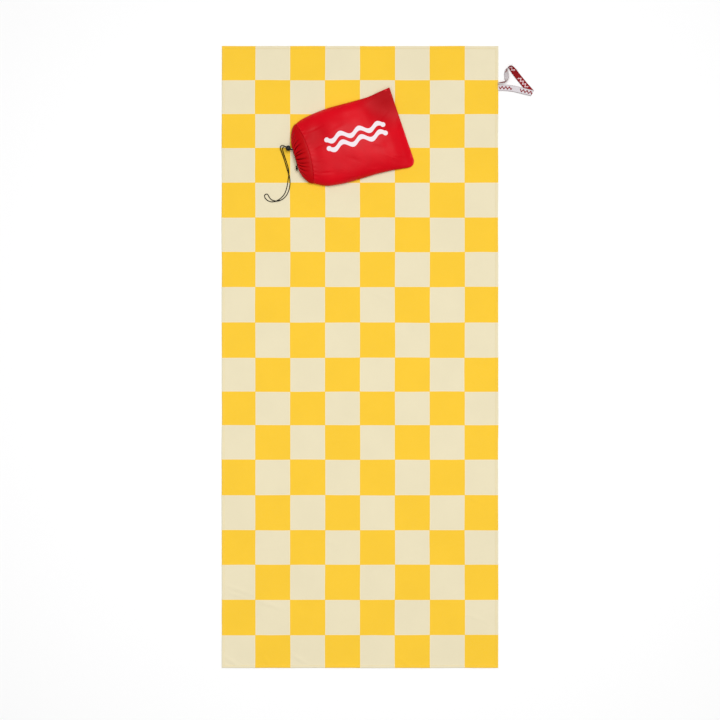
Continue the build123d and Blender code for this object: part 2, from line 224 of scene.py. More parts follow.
class Shader:
    """One node material, with short calls for the nodes that the recipes below share."""

    def __init__(self, name):
        self.material = bpy.data.materials.new(name)
        self.material.use_nodes = True
        self.tree = self.material.node_tree
        self.principled = self.tree.nodes["Principled BSDF"]
        self.where = self.node("TexCoord", {}).outputs["Object"]

    def wire(self, socket, source):
        """Put a number, a colour, a value or an output into a socket."""
        if isinstance(source, Value):
            source = source.socket
        if isinstance(source, (int, float, tuple)):
            socket.default_value = source
        else:
            self.tree.links.new(source, socket)

    def set(self, **sources):
        """Put numbers, colours or outputs into the shader's own sockets."""
        for name, source in sources.items():
            self.wire(self.principled.inputs[name.replace("_", " ")], source)

    def node(self, kind, inputs, **settings):
        """A new node with its settings and what goes into it."""
        node = self.tree.nodes.new("ShaderNode" + kind)
        for setting, value in settings.items():
            setattr(node, setting, value)
        for socket, source in inputs.items():
            self.wire(node.inputs[socket], source)
        return node

    def axes(self, vector):
        """The first two parts of a vector."""
        parts = self.node("SeparateXYZ", {0: vector}).outputs
        return Value(self, parts[0]), Value(self, parts[1])

    def moved(self, vector, location=(0, 0, 0), rotation=(0, 0, 0), scale=(1, 1, 1)):
        inputs = {"Vector": vector, "Location": location, "Rotation": rotation, "Scale": scale}
        return self.node("Mapping", inputs).outputs[0]

    def noise(self, scale, detail=2.0, vector=None):
        inputs = {"Vector": vector or self.where, "Scale": scale, "Detail": detail}
        return Value(self, self.node("TexNoise", inputs).outputs["Fac"])

    def bands(self, scale, direction, vector=None, distortion=0.0):
        inputs = {"Vector": vector or self.where, "Scale": scale, "Distortion": distortion}
        return Value(self, self.node("TexWave", inputs, bands_direction=direction).outputs["Fac"])

    def ramp(self, value, low, high, start=0.0, end=1.0):
        """Map low..high to start..end with a smooth step."""
        inputs = dict(enumerate((value, low, high, start, end)))
        return Value(self, self.node("MapRange", inputs, interpolation_type="SMOOTHSTEP").outputs[0])

    def below(self, value, limit, soft):
        """1 where a value is under a limit, 0 where it is over."""
        return self.ramp(value, limit - soft, limit + soft, 1.0, 0.0)

    def mix(self, factor, a, b):
        """A colour between two colours."""
        return self.node("Mix", {0: factor, 6: a, 7: b}, data_type="RGBA").outputs[2]

    def tint(self, colour, amount, scale):
        """The colour with a soft variation in lightness."""
        spread = self.ramp(self.noise(scale, 3.0), 0.3, 0.7, 1 - amount, 1 + amount)
        return self.node("VectorMath", {0: colour[:3], "Scale": spread}, operation="SCALE").outputs[0]

    def bump(self, *layers):
        """Stack bump layers, each (height, strength, distance in metres)."""
        normal = None
        for height, strength, distance in layers:
            node = self.node("Bump", {"Height": height, "Strength": strength, "Distance": distance})
            if normal:
                self.wire(node.inputs["Normal"], normal)
            normal = node.outputs[0]
        self.set(Normal=normal)


YELLOW = linear(255, 206, 49)
CREAM = linear(239, 228, 194)
PALE_FIBRE = linear(252, 240, 214)
NYLON_RED = linear(220, 2, 25)
# The panel's nylon red darkened as painted shade of the gathered, sloping casing
CASING_SHADED_RED = linear(194, 0, 11)
# Painted shade for the valleys between the casing's gathers
VALLEY_SHADE_RED = linear(118, 0, 4)
PRINT_WHITE = linear(247, 236, 242)
# The nylon red darkened, used for the painted shade on the front
NYLON_SHADED = linear(174, 0, 10)


def towel_material():
    """Printed microfibre: yellow and cream checks whose edges wander a little, over a short pile."""
    shader = Shader("towel_print")
    shader.set(Roughness=0.95, Specular_IOR_Level=0.05, Sheen_Weight=0.02, Sheen_Roughness=0.5)
    x, y = shader.axes(shader.where)
    across_stretch = 1.0105
    along_shrink = -0.0042
    along_shift = -1.2 * MM
    slow_wander = ((2.2 * MM, 0.75, -0.36), (1.45 * MM, 0.425, 0.14))
    quick_wander = 4.5 * MM
    x = x.of("DIVIDE", across_stretch)
    drift = y * along_shrink + along_shift
    for size, length, phase in slow_wander:
        drift = drift + (y * (2 * pi / length) + phase).of("COSINE") * size
    y = y + drift
    off_centre = shader.moved(shader.where, location=(3.7, 1.9, 0.6))
    lines = [line + (shader.noise(5.0, 3, field) - 0.5) * quick_wander
             for line, field in ((x, shader.where), (y, off_centre))]
    wave_x, wave_y = [(line * (pi / CHECK)).of("SINE") for line in lines]
    away_x, away_y = [line.of("PINGPONG", CHECK / 2) for line in lines]
    inside_yellow = (wave_x * wave_y).of("SIGN") * away_x.of("MINIMUM", away_y)
    fuzz = (shader.noise(900.0) - 0.5) * (0.9 * MM)
    print_gain = 0.45 * MM
    soft = 0.7 * MM
    edge = inside_yellow + fuzz + print_gain
    cream = shader.tint(CREAM, 0.012, 9.0)
    yellow = shader.tint(YELLOW, 0.012, 9.0)
    printed = shader.mix(shader.ramp(edge, -soft, soft), cream, yellow)
    unprinted = shader.ramp(abs(edge + 1.3 * MM), 0.4 * MM, 1.5 * MM, 0.35, 0.0)
    printed = shader.mix(unprinted, printed, PALE_FIBRE)
    pile = shader.noise(1400.0, 4)
    ribs = shader.bands(160.0, "X", distortion=2.5)
    shader.set(Base_Color=shader.mix(shader.ramp(pile, 0.35, 0.75, 0.0, 0.07), printed, PALE_FIBRE))
    shader.bump((pile, 0.6, 0.35 * MM), (ribs, 0.12, 0.2 * MM), (shader.noise(260.0, 3), 0.25, 0.6 * MM))
    return shader.material


def thread_material(name, colour):
    """Spun polyester thread with a fine twist."""
    shader = Shader(name)
    shader.set(Roughness=0.6, Specular_IOR_Level=0.3, Sheen_Weight=0.1,
               Base_Color=shader.tint(colour, 0.08, 500.0))
    twist = shader.moved(shader.where, rotation=(0, 0, radians(35)))
    shader.bump((shader.bands(2200.0, "X", twist), 0.4, 0.08 * MM))
    return shader.material


def tape_material(name, ground, motif, selvedge):
    """One face of the woven tape: a ribbed weave, darker selvedges and a woven wave motif."""
    shader = Shader(name)
    shader.set(Roughness=0.6, Specular_IOR_Level=0.08, Sheen_Weight=0.03, Sheen_Roughness=0.4)
    flat = shader.node("UVMap", {}, uv_map="tape").outputs[0]
    along, across = shader.axes(flat)
    first_motif = 49 * MM
    repeat = 61.5 * MM
    motif_share = 39 * MM / repeat
    wave_length = 10.4 * MM
    height = 2.9 * MM
    half_stroke = 2.4 * MM
    soft = 0.25 * MM
    place = (along + (repeat - first_motif)).of("DIVIDE", repeat).of("FRACT")
    inside = shader.ramp(place, 0.0, 0.01) * shader.ramp(place, motif_share - 0.01, motif_share, 1.0, 0.0)
    away = abs(across - (along * (2 * pi / wave_length)).of("SINE") * height)
    base = shader.mix(shader.below(away, half_stroke, soft) * inside, ground, motif)
    weave = shader.bands(420.0, "X", flat) * shader.bands(700.0, "Y", flat)
    # painted shade: the weave's low places are darkened
    shaded = shader.mix(shader.ramp(weave, 0.0, 0.9, 0.16, 0.0), base, (0.05, 0.02, 0.02, 1))
    edge = shader.ramp(abs(across), 6.9 * MM, 8.2 * MM, 0.0, 0.5)
    shader.set(Base_Color=shader.mix(edge, shaded, selvedge))
    shader.bump((weave, 0.5, 0.15 * MM))
    return shader.material


# Spots of painted shade on the front, where the cloth is painted darker and made duller: u, v, from, to and
# share
PAINTED_SHADE_SPOTS = [
    (-26, 92, 10, 104, 0.85),
    (-254, 34, 5, 58, 0.4),
    (-268, -34, 5, 46, 0.25),
]


def nylon_material(name, colour, printed=False, gathered=False):
    """Satin nylon with a fine plain weave; the front panel carries a white wave motif and spots of painted
    shade, and the casing is painted darker as shade, most of all in the valleys between its gathers."""
    shader = Shader(name)
    own = shader.moved(shader.where, location=tuple(-POUCH_ORIGIN))
    own = shader.moved(own, rotation=(0, 0, -POUCH_TURN))
    cloth = shader.tint(colour, 0.05, 14.0)
    crumple = shader.noise(38.0, 3, own)
    roughness = shader.ramp(crumple, 0.3, 0.7, 0.34, 0.42)
    layers = [(shader.bands(1500.0, "X", own) * shader.bands(1500.0, "Y", own), 0.12, 0.05 * MM),
              (crumple, 0.10, 2.0 * MM)]
    if printed:
        painted_shade = painted_shade_parts(shader, own)
        mask = wave_print(shader, own)
        # painted shade: the red is darkened towards the shaded red in the listed spots
        cloth = shader.mix(painted_shade, cloth, NYLON_SHADED)
        cloth = shader.mix(mask, cloth, PRINT_WHITE)
        roughness = shader.ramp(mask.of("MAXIMUM", painted_shade), 0.0, 1.0, 0.38, 0.66)
        layers.append((mask, 0.25, 0.12 * MM))
    if gathered:
        # painted shade: the casing darkens towards the valley red by how deep each point sits in a gather
        valley = shader.node("Attribute", {}, attribute_name="valley").outputs["Fac"]
        cloth = shader.mix(valley, cloth, VALLEY_SHADE_RED)
    shader.set(Specular_IOR_Level=0.12, Roughness=roughness, Base_Color=cloth)
    shader.bump(*layers)
    return shader.material


def painted_shade_parts(shader, own):
    """How much painted shade the front carries, from 0 to 1."""
    painted_shade = 0.0
    for u, v, near, far, share in PAINTED_SHADE_SPOTS:
        spot = shader.moved(own, location=(-u * MM, -v * MM, 0), scale=(1.0, 0.9, 0))
        away = shader.node("VectorMath", {0: spot}, operation="LENGTH").outputs["Value"]
        painted_shade = shader.ramp(away, near * MM, far * MM, share, 0.0).of("MAXIMUM", painted_shade)
    return painted_shade


def wave_print(shader, own):
    """The print's mask: two bold parallel waves with round ends."""
    u, v = shader.axes(own)
    centre_u = -138 * MM
    centre_v = 8 * MM
    half_length = 84 * MM
    turn = 2 * pi / (56 * MM)
    height = 7.5 * MM
    half_stroke = 7.0 * MM
    cap_radius = half_stroke * 1.02
    spread = 13.0 * MM
    soft = 0.35 * MM
    du = u - centre_u
    dv = v - centre_v
    crest = (du * turn).of("SINE") * height
    inside = shader.below(abs(du), half_length, soft)
    mask = 0.0
    for middle in (-spread, spread):
        stroke = shader.below(abs(dv - (crest + middle)), half_stroke, soft)
        mask = (stroke * inside).of("MAXIMUM", mask)
        for end_u in (-half_length, half_length):
            away_u = du - end_u
            away_v = dv - (middle + sin(turn * end_u) * height)
            away = (away_u * away_u + away_v * away_v).of("SQRT")
            mask = shader.below(away, cap_radius, soft).of("MAXIMUM", mask)
    return mask


def cord_material():
    """Black braided polyester: the braid is in the mesh, the fibres are here."""
    shader = Shader("braided_cord")
    fibres = shader.ramp(shader.noise(1600.0, 3), 0.35, 0.7)
    shader.set(Roughness=0.55, Specular_IOR_Level=0.08,
               Base_Color=shader.mix(fibres, (0.003, 0.002, 0.002, 1), (0.010, 0.007, 0.005, 1)))
    shader.bump((shader.noise(2600.0), 0.3, 0.06 * MM))
    return shader.material


def plastic_material(name, grey, roughness):
    """Black moulded plastic with a faint spark-eroded grain and rubbed lighter patches."""
    shader = Shader(name)
    rubbed = grey * 1.8 + 0.003
    patches = shader.ramp(shader.noise(180.0, 4), 0.45, 0.8)
    worn = shader.ramp(shader.noise(400.0), 0.3, 0.7, roughness - 0.05, roughness + 0.08)
    shader.set(Specular_IOR_Level=0.08, Roughness=worn,
               Base_Color=shader.mix(patches, (grey, grey, grey, 1), (rubbed, rubbed, rubbed, 1)))
    shader.bump((shader.noise(2200.0), 0.12, 0.03 * MM))
    return shader.material


def steel_material():
    """Drawn spring wire with fine streaks."""
    shader = Shader("spring_wire")
    streaks = shader.noise(1800.0, 3)
    shader.set(Metallic=1.0, Roughness=shader.ramp(streaks, 0.2, 0.8, 0.22, 0.38),
               Base_Color=shader.mix(streaks, (0.42, 0.42, 0.43, 1), (0.68, 0.68, 0.69, 1)))
    return shader.material


def floor_material():
    """A plain white studio floor."""
    shader = Shader("studio_floor")
    shader.set(Roughness=0.9, Specular_IOR_Level=0.1, Base_Color=(0.91, 0.91, 0.91, 1))
    return shader.material


TOWEL = towel_material()
HEM_THREAD = thread_material("hem_thread", linear(250, 214, 110))
TAPE_RED = tape_material("tape_red_face", linear(152, 8, 19), linear(240, 206, 210), linear(78, 0, 14))
TAPE_WHITE = tape_material("tape_white_face", linear(236, 230, 234), linear(150, 10, 28), linear(118, 74, 74))
NYLON = nylon_material("pouch_nylon", NYLON_RED)
NYLON_PRINTED = nylon_material("pouch_nylon_printed", NYLON_RED, printed=True)
NYLON_CASING = nylon_material("casing_nylon", CASING_SHADED_RED, gathered=True)
POUCH_THREAD = thread_material("pouch_thread", linear(196, 20, 32))
CORD_BLACK = cord_material()
LOCK_PLASTIC = plastic_material("lock_plastic", 0.005, 0.32)
BUTTON_PLASTIC = plastic_material("button_plastic", 0.008, 0.22)
SPRING_STEEL = steel_material()


# -- camera, light and floor

def camera():
    """Straight down, with a long lens, over the whole towel and its hanging loop."""
    lens = 100.0
    sensor = 36.0
    view_width = 2.084
    centre_y = -8.7 * MM
    data = bpy.data.cameras.new("camera")
    data.lens = lens
    data.sensor_width = sensor
    data.clip_end = 100
    holder = bpy.data.objects.new("camera", data)
    holder.location = (0, centre_y, CLOTH_TOP + view_width * lens / sensor)
    bpy.context.scene.collection.objects.link(holder)
    bpy.context.scene.camera = holder


def studio_light(name, kind, location, target, energy, **settings):
    """A light that shines from a place towards a target."""
    data = bpy.data.lights.new(name, kind)
    data.energy = energy
    for setting, value in settings.items():
        setattr(data, setting, value)
    light = bpy.data.objects.new(name, data)
    light.location = location
    light.rotation_euler = (Vector(target) - Vector(location)).to_track_quat("-Z", "Y").to_euler()
    bpy.context.scene.collection.objects.link(light)


def studio():
    """White surroundings, a soft key light from the upper right and a white floor."""
    scene = bpy.context.scene
    scene.view_settings.view_transform = "Standard"
    scene.view_settings.look = "None"
    world = bpy.data.worlds.new("studio")
    world.use_nodes = True
    background = world.node_tree.nodes["Background"]
    background.inputs["Color"].default_value = (1, 1, 1, 1)
    background.inputs["Strength"].default_value = 0.28
    scene.world = world
    studio_light("key", "SUN", (0.22, 0.34, 1.0), (0, 0, 0), 1.60, angle=radians(36))
    studio_light("overhead", "AREA", (0.1, 0.1, 3.2), (0.1, 0.1, 0), 53, size=3.0)
    half = 40.0
    mesh = bpy.data.meshes.new("floor")
    corners = [(-half, -half, 0), (half, -half, 0), (half, half, 0), (-half, half, 0)]
    mesh.from_pydata(corners, [], [(0, 1, 2, 3)])
    mesh.materials.append(floor_material())
    floor = bpy.data.objects.new("floor", mesh)
    floor.location = (0, 0, -1.5 * MM)
    scene.collection.objects.link(floor)


camera()
studio()


# -- the drawcord

def nurbs_line(points):
    """Points along the smooth line whose control points are given."""
    data = bpy.data.curves.new("route", "CURVE")
    data.dimensions = "3D"
    data.resolution_u = 24
    spline = data.splines.new("NURBS")
    spline.points.add(len(points) - 1)
    for point, place in zip(spline.points, points):
        point.co = (*place, 1)
    spline.order_u = 3
    spline.use_endpoint_u = True
    holder = bpy.data.objects.new("route", data)
    bpy.context.scene.collection.objects.link(holder)
    mesh = bpy.data.meshes.new_from_object(holder)
    line = np.array([vertex.co[:] for vertex in mesh.vertices])
    bpy.data.objects.remove(holder)
    bpy.data.curves.remove(data)
    bpy.data.meshes.remove(mesh)
    return line


def outward_rings(line, sides):
    """Unit vectors out from a line, a ring of them at each of its points, and their angles."""
    tangents = np.gradient(line, axis=0)
    tangents /= np.linalg.norm(tangents, axis=1, keepdims=True)
    side = np.cross(tangents[0], (0, 0, 1.0))
    angles = np.linspace(0, 2 * pi, sides, endpoint=False)
    rings = []
    for tangent in tangents:
        side = side - tangent * np.dot(side, tangent)
        side /= np.linalg.norm(side)
        up = np.cross(tangent, side)
        rings.append(np.outer(np.cos(angles), side) + np.outer(np.sin(angles), up))
    return np.array(rings), angles


def braided_tube(name, line, radius, node=None, spacing=0.42 * MM, sides=30):
    """A braided cord: crossing strands raised on a tube, closed at both ends."""
    line = even_points(line, max(8, int(run_lengths(line)[-1] / spacing)))
    outward, angles = outward_rings(line, sides)
    strands = 5
    lay = 9.0 * MM
    turn = strands * angles[None, :] / 2
    travel = strands * pi * run_lengths(line)[:, None] / lay
    left = np.abs(np.cos(turn + travel))
    right = np.abs(np.cos(turn - travel))
    over = 0.5 + 0.5 * np.sign(np.sin(2 * turn) * np.sin(2 * travel))
    height = np.maximum(left * (0.75 + 0.25 * over), right * (1.0 - 0.25 * over))
    rings = line[:, None] + outward * (radius * (0.90 + 0.12 * height))[..., None]
    return make_piece(name, rings, tube_faces(len(line), sides), [CORD_BLACK], node)


STRAND_HIGH = 14.4
STRAND_LOW = 11.2
REST_Z = 2.6
HUMP_Z = 5.9
LOCK_EXIT = (-213.72, 606.74)
LOOP_ROUTE = [
    (*LOCK_EXIT, STRAND_HIGH), (-219.3, 610.0, 14.1), (-225.2, 612.2, 12.6),
    (-230.0, 608.4, 10.4), (-229.8, 601.6, 7.9), (-225.8, 590.6, 4.9),
    (-220.0, 574.0, 3.0), (-213.8, 553.5, 3.2), (-208.8, 537.5, HUMP_Z),
    (-204.6, 525.0, HUMP_Z), (-202.0, 509.5, 3.0), (-203.0, 493.5, REST_Z),
    (-206.8, 478.6, REST_Z), (-213.2, 466.4, REST_Z), (-223.2, 456.6, 3.0),
    (-234.8, 451.4, HUMP_Z), (-244.0, 450.9, HUMP_Z), (-254.4, 453.6, 3.0),
    (-261.2, 459.6, REST_Z), (-264.6, 466.4, REST_Z), (-267.6, 471.2, REST_Z),
    (-273.2, 471.6, REST_Z), (-276.8, 467.3, REST_Z), (-275.1, 460.5, REST_Z),
    (-269.4, 453.9, REST_Z), (-262.4, 450.2, REST_Z), (-255.6, 448.6, REST_Z),
    (-245.6, 449.4, REST_Z), (-236.0, 454.6, REST_Z), (-226.8, 461.6, REST_Z),
    (-218.8, 470.4, REST_Z), (-213.6, 482.8, REST_Z), (-210.0, 498.0, REST_Z),
    (-208.0, 513.5, REST_Z), (-205.4, 529.0, REST_Z), (-206.6, 544.5, REST_Z),
    (-211.8, 561.5, REST_Z), (-217.4, 578.5, 3.0), (-222.4, 593.5, 4.9),
    (-224.6, 603.6, 7.2), (-219.0, 609.8, 10.3), (*LOCK_EXIT, STRAND_LOW),
]


def drawcord_loop():
    """The free loop, out of the lock by the upper strand and back into it by the lower one."""
    route = [tuple(value * MM for value in point) for point in LOOP_ROUTE]
    line = nurbs_line(route)
    loop = braided_tube("cord_loop", line, CORD_DIAMETER / 2, "drawcord_loop")


def casing_strands():
    """The two strands in the casing, from the knot round the mouth and through the lock."""
    mouth_u = -322.6
    exit_v = 24.7
    lock_turn = (-327.55, 24.68)
    lock_far = (-340.1, 37.05)
    knot_u = -327.8
    for label, z, run_z, node in (("upper", STRAND_HIGH, 20.4, "drawcord_casing"),
                                  ("lower", STRAND_LOW, 4.7, None)):
        middle_z = (z + run_z) / 2
        points = [
            (knot_u, -30.2, z), (knot_u, -27.4, z), (knot_u, -exit_v, z), (-326.0, -exit_v, z),
            (mouth_u, -exit_v, z), (mouth_u, -exit_v, middle_z), (mouth_u, -exit_v, run_z),
            (mouth_u, -exit_v + 4, run_z), (mouth_u, 0, run_z), (mouth_u, exit_v - 4, run_z),
            (mouth_u, exit_v, run_z), (mouth_u, exit_v, middle_z), (mouth_u, exit_v, z),
            (-325.6, exit_v, z), (*lock_turn, z), (-331.0, 28.2, z), (*lock_far, z),
        ]
        line = nurbs_line(pouch_to_frame(np.array(points) * MM).tolist())
        braided_tube(f"cord_strand_{label}", line, CORD_DIAMETER / 2, node)


def stopper_knot():
    """The knot on the cord's two ends: a tightened trefoil with two cut tails."""
    middle = (-327.7, -31.9, (STRAND_HIGH + STRAND_LOW) / 2)
    size = 0.74
    turns = np.linspace(0, 2 * pi, 160)
    loop = np.stack([np.sin(turns) + 2 * np.sin(2 * turns), np.cos(turns) - 2 * np.cos(2 * turns),
                     -np.sin(3 * turns)], axis=1) * size + middle
    braided_tube("cord_knot", pouch_to_frame(loop * MM), 1.12 * MM, "drawcord_knot", 0.3 * MM, 24)
    for label, side in (("a", -1), ("b", 1)):
        tail = np.array([(0, -0.5, side * 0.7), (side * 0.4, -2.6, side * 0.9),
                         (side * 0.9, -4.0, 0.2 + side), (side * 1.4, -5.2, side * 1.1)]) + middle
        braided_tube(f"cord_tail_{label}", pouch_to_frame(smooth_curve(tail, 30) * MM), 1.05 * MM, sides=20)


# -- stitches

def stitch_rows(name, runs, width, height, material, node, body="pouch"):
    """Separate stitches, each a small rounded strand; runs holds (starts, ends, normals) arrays."""
    profile = [(-0.5, 0.25, -0.9), (-0.42, 0.7, -0.2), (-0.2, 0.95, 0.3), (0.0, 1.0, 0.42),
               (0.2, 0.95, 0.3), (0.42, 0.7, -0.2), (0.5, 0.25, -0.9)]
    sides = 6
    template = np.array([(along, thick * cos(angle) / 2, rise * 0.5 + thick * sin(angle) / 2)
                         for along, thick, rise in profile
                         for angle in np.linspace(0, 2 * pi, sides, endpoint=False)])
    count = len(template)
    one = [*grid_faces(len(profile), sides, closed=True).tolist(), list(range(sides - 1, -1, -1)),
           list(range(count - sides, count))]
    vertices = []
    faces = []
    for starts, ends, normals in runs:
        for start, end, normal in zip(starts, ends, normals):
            along = end - start
            across = np.cross(normal, along)
            across /= max(np.linalg.norm(across), 1e-12)
            first = len(vertices) * count
            vertices.append((start + end) / 2 + template[:, :1] * along
                            + template[:, 1:2] * across * width + template[:, 2:] * normal * height)
            faces += [[index + first for index in face] for face in one]
    return make_piece(name, np.concatenate(vertices), faces, [material], node, body)


def stitches_along(line, normals, pitch):
    """Starts, ends and normals of stitches evenly spaced along a line."""
    gap = 0.12
    count = max(2, int(run_lengths(line)[-1] / pitch))
    both = even_points(np.concatenate([line, normals], axis=1), count + 1)
    points = both[:, :3]
    ups = both[:, 3:] / np.linalg.norm(both[:, 3:], axis=1, keepdims=True)
    starts = points[:-1] * (1 - gap) + points[1:] * gap
    ends = points[1:] * (1 - gap) + points[:-1] * gap
    return starts, ends, (ups[:-1] + ups[1:]) / 2


# -- towel

CREASE_GAIN = 1.7
# Short creases left from folding: start x, y, end x, y, half width and height, in mm
CREASES = np.array([
    (-398, -658, -306, -690, 4.5, 0.8), (-392, -678, -318, -702, 4.0, 0.6),
    (-296, -706, -218, -731, 4.5, 0.8), (-399, -862, -348, -897, 5.0, 0.9),
    (-198, -860, -150, -890, 5.0, 0.9), (-282, -864, -258, -899, 4.0, 0.7),
    (-70, -893, -18, -896, 4.0, 0.7), (114, -874, 148, -899, 4.5, 0.7),
    (300, -742, 372, -768, 4.5, 0.5), (-120, -520, -60, -548, 5.0, 0.4),
    (36, 188, 92, 160, 5.0, 0.4), (310, -402, 360, -428, 5.0, 0.4),
]) * MM


def crease_heights(x, y, creases):
    """Heights of the short creases over a grid."""
    total = np.zeros_like(x)
    for start_x, start_y, end_x, end_y, width, height in creases:
        run = np.array([end_x - start_x, end_y - start_y])
        share = np.clip(((x - start_x) * run[0] + (y - start_y) * run[1]) / np.sum(run * run), 0, 1)
        away = np.hypot(x - start_x - run[0] * share, y - start_y - run[1] * share)
        total += height * (1 - 1.6 * np.abs(share - 0.5)) * np.exp(-(away / width) ** 2)
    return total


def towel_height(x, y):
    """Small rises in the cloth: a few soft lumps and faint slanting creases."""
    lump = rough(x * 4.5, y * 4.5, 1.3) * 0.5 + rough(x * 11, y * 11, 4.1) * 0.25
    slant = rough(x * 5 + y * 2.2, y * 14 - x * 5, 9.0)
    crease = max(0.0, 1 - abs(slant) * 9) * (0.5 + rough(x * 3, y * 3, 2.0))
    return (lump * 0.8 + crease * 0.35) * MM


# Distances in from the hem's edge, and the height of the cloth's top face at each of them
HEM_PLACES = np.array([0, 0.25, 0.8, 1.6, 3.2, 5.2, 5.9, 6.4, 6.9, 7.6, 8.1, 8.7, 10]) * MM
HEM_HEIGHTS = np.array([0.95, 1.5, 1.85, 1.98, 2.02, 1.98, 1.8, 1.62, 1.8, 1.9, 1.6, 1.25, 1.2]) * MM


def edge_lines(half):
    """Coordinates from one hem to the other, close together where the hem turns."""
    step = 4 * MM
    hem = np.append(HEM_PLACES, 13 * MM)
    middle = np.linspace(-half + 18 * MM, half - 18 * MM, int(2 * half / step))
    return np.concatenate([-half + hem, middle, half - hem[::-1]])


def towel():
    """The cloth with its turned hem, a closed sheet with a gently uneven top face."""
    xs = edge_lines(HALF_WIDTH)
    ys = edge_lines(HALF_LENGTH)
    x, y = np.meshgrid(xs, ys)
    inset = np.minimum(HALF_WIDTH - np.abs(x), HALF_LENGTH - np.abs(y))
    lumps = np.array([[towel_height(place_x, place_y) for place_x in xs] for place_y in ys])
    creases = CREASE_GAIN * crease_heights(x, y, CREASES)
    rise = lumps * smooth_step(inset, 6 * MM, 40 * MM) + creases * smooth_step(inset, 0, 12 * MM)
    level = np.interp(inset, HEM_PLACES, HEM_HEIGHTS) + np.maximum(rise, -0.5 * MM)
    waver = 0.9 * MM
    waver_x = np.array([rough(0.7, place * 9, 3.0) for place in ys]) * waver
    waver_y = np.array([rough(place * 9, 0.2, 7.0) for place in xs]) * waver
    moved_x = x + waver_x[:, None] * (x / HALF_WIDTH) ** 2
    moved_y = y + waver_y[None, :] * (y / HALF_LENGTH) ** 2
    edge_lift = 0.45 * MM * (1 - smooth_step(inset, 0, 0.8 * MM))
    grids = [np.stack([moved_x, moved_y, heights], axis=-1) for heights in (level, edge_lift)]
    faces = np.concatenate(sheet_faces(len(ys), len(xs)))
    return make_piece("towel", grids, faces, [TOWEL], "towel_cloth", "towel")


def hem_stitching():
    """Four lines of lockstitch in the hem's groove."""
    x = HALF_WIDTH - STITCH_INSET
    y = HALF_LENGTH - STITCH_INSET
    z = HEM_TOP - 0.28 * MM
    pitch = 3.2 * MM
    lines = {"top": ((-x, y, z), (x, y, z)), "bottom": ((-x, -y, z), (x, -y, z)),
             "left": ((-x, -y, z), (-x, y, z)), "right": ((x, -y, z), (x, y, z))}
    return [stitch_rows(f"hem_stitches_{side}", [stitches_along(np.array(line), np.array([UP, UP]), pitch)],
                        0.75 * MM, 0.55 * MM, HEM_THREAD, f"hem_stitch_{side}", "towel")
            for side, line in lines.items()]


def loop_bartacks():
    """Dense zigzags of thread over the tape's two ends."""
    half_bar = 1.1 * MM
    pitch = 0.45 * MM
    slant = 0.22 * MM
    centre_x = HALF_WIDTH - 2.2 * MM
    runs = []
    for centre_y in (779.5 * MM, 793.5 * MM):
        ys = centre_y + np.arange(-13, 14) * pitch
        starts = np.array([(centre_x - half_bar, y, HEM_TOP + 0.03 * MM) for y in ys])
        runs.append((starts, starts + (2 * half_bar, slant, 0), np.tile(UP, (len(ys), 1))))
    return stitch_rows("loop_bartacks", runs, 0.42 * MM, 0.4 * MM, HEM_THREAD,
                       "loop_bartack", "towel")


# -- hanging loop

TAPE_WIDTH = 17 * MM
TAPE_THICKNESS = 0.7 * MM
FLAT_Z = 0.55
FOLD_HEIGHT = 1.4


def tape_sections():
    """Sections of the tape in mm, out of the hem and then back to it: centre and half vector across."""
    half = TAPE_WIDTH / MM / 2
    out = [
        # x, y, heading and lean; the tape stands on edge, then tips over
        (400.3, 792.8, 0, 86), (411, 793.4, 4, 97), (418.6, 794.8, 26, 96), (422.2, 797.6, 62, 76),
        (424.0, 808.2, 92, 46), (422.8, 820.8, 91, 52), (423.6, 831.0, 72, 70), (428.0, 837.0, 28, 92),
        (435.0, 837.4, -28, 128), (444.6, 828.0, -48, 158), (456.6, 812.6, -50, 176),
        (478.5, 786.1, -48, 180), (491.0, 772.2, -48, 180),
    ]
    back = [
        # x, y, rise and heading; the tape lies flat
        (491.2, 765.6, FOLD_HEIGHT, 166), (478.6, 768.7, FOLD_HEIGHT, 166), (462.0, 772.6, 0.9, 167),
        (442.0, 777.0, 0.5, 170), (420.0, 779.3, 0.5, 176), (404.0, 779.8, 0.6, 180),
        (394.5, 779.8, 0.7, 180),
    ]
    first = [(x, y, FLAT_Z + half * abs(sin(radians(lean))), *(across_tape(heading, lean) * half))
             for x, y, heading, lean in out]
    second = [(x, y, FLAT_Z + rise, *(across_tape(heading, 0) * half)) for x, y, rise, heading in back]
    return first, second


def across_tape(heading, lean):
    """Unit vector across the tape, leaning from flat (0) to on edge (90)."""
    right = np.array([sin(radians(heading)), -cos(radians(heading)), 0])
    return right * cos(radians(lean)) + np.array([0, 0, sin(radians(lean))])


def fold_sections():
    """Sections round the sharp fold at the loop's tip, all along the fold line."""
    heading_out = -48
    heading_back = 166.3
    fold_angle = radians((heading_out + heading_back) / 2)
    half = TAPE_WIDTH / MM / 2 / cos(radians(heading_back - 90) - fold_angle)
    along = np.array([cos(fold_angle), sin(fold_angle), 0]) * half
    outward = np.array([sin(fold_angle), -cos(fold_angle), 0])
    middle = np.array([498.6, 763.8, FLAT_Z + FOLD_HEIGHT / 2])
    return [(*(middle + (outward * cos(angle) + np.array([0, 0, sin(angle)])) * FOLD_HEIGHT / 2), *along)
            for angle in np.radians(np.linspace(-90, 90, 9))]


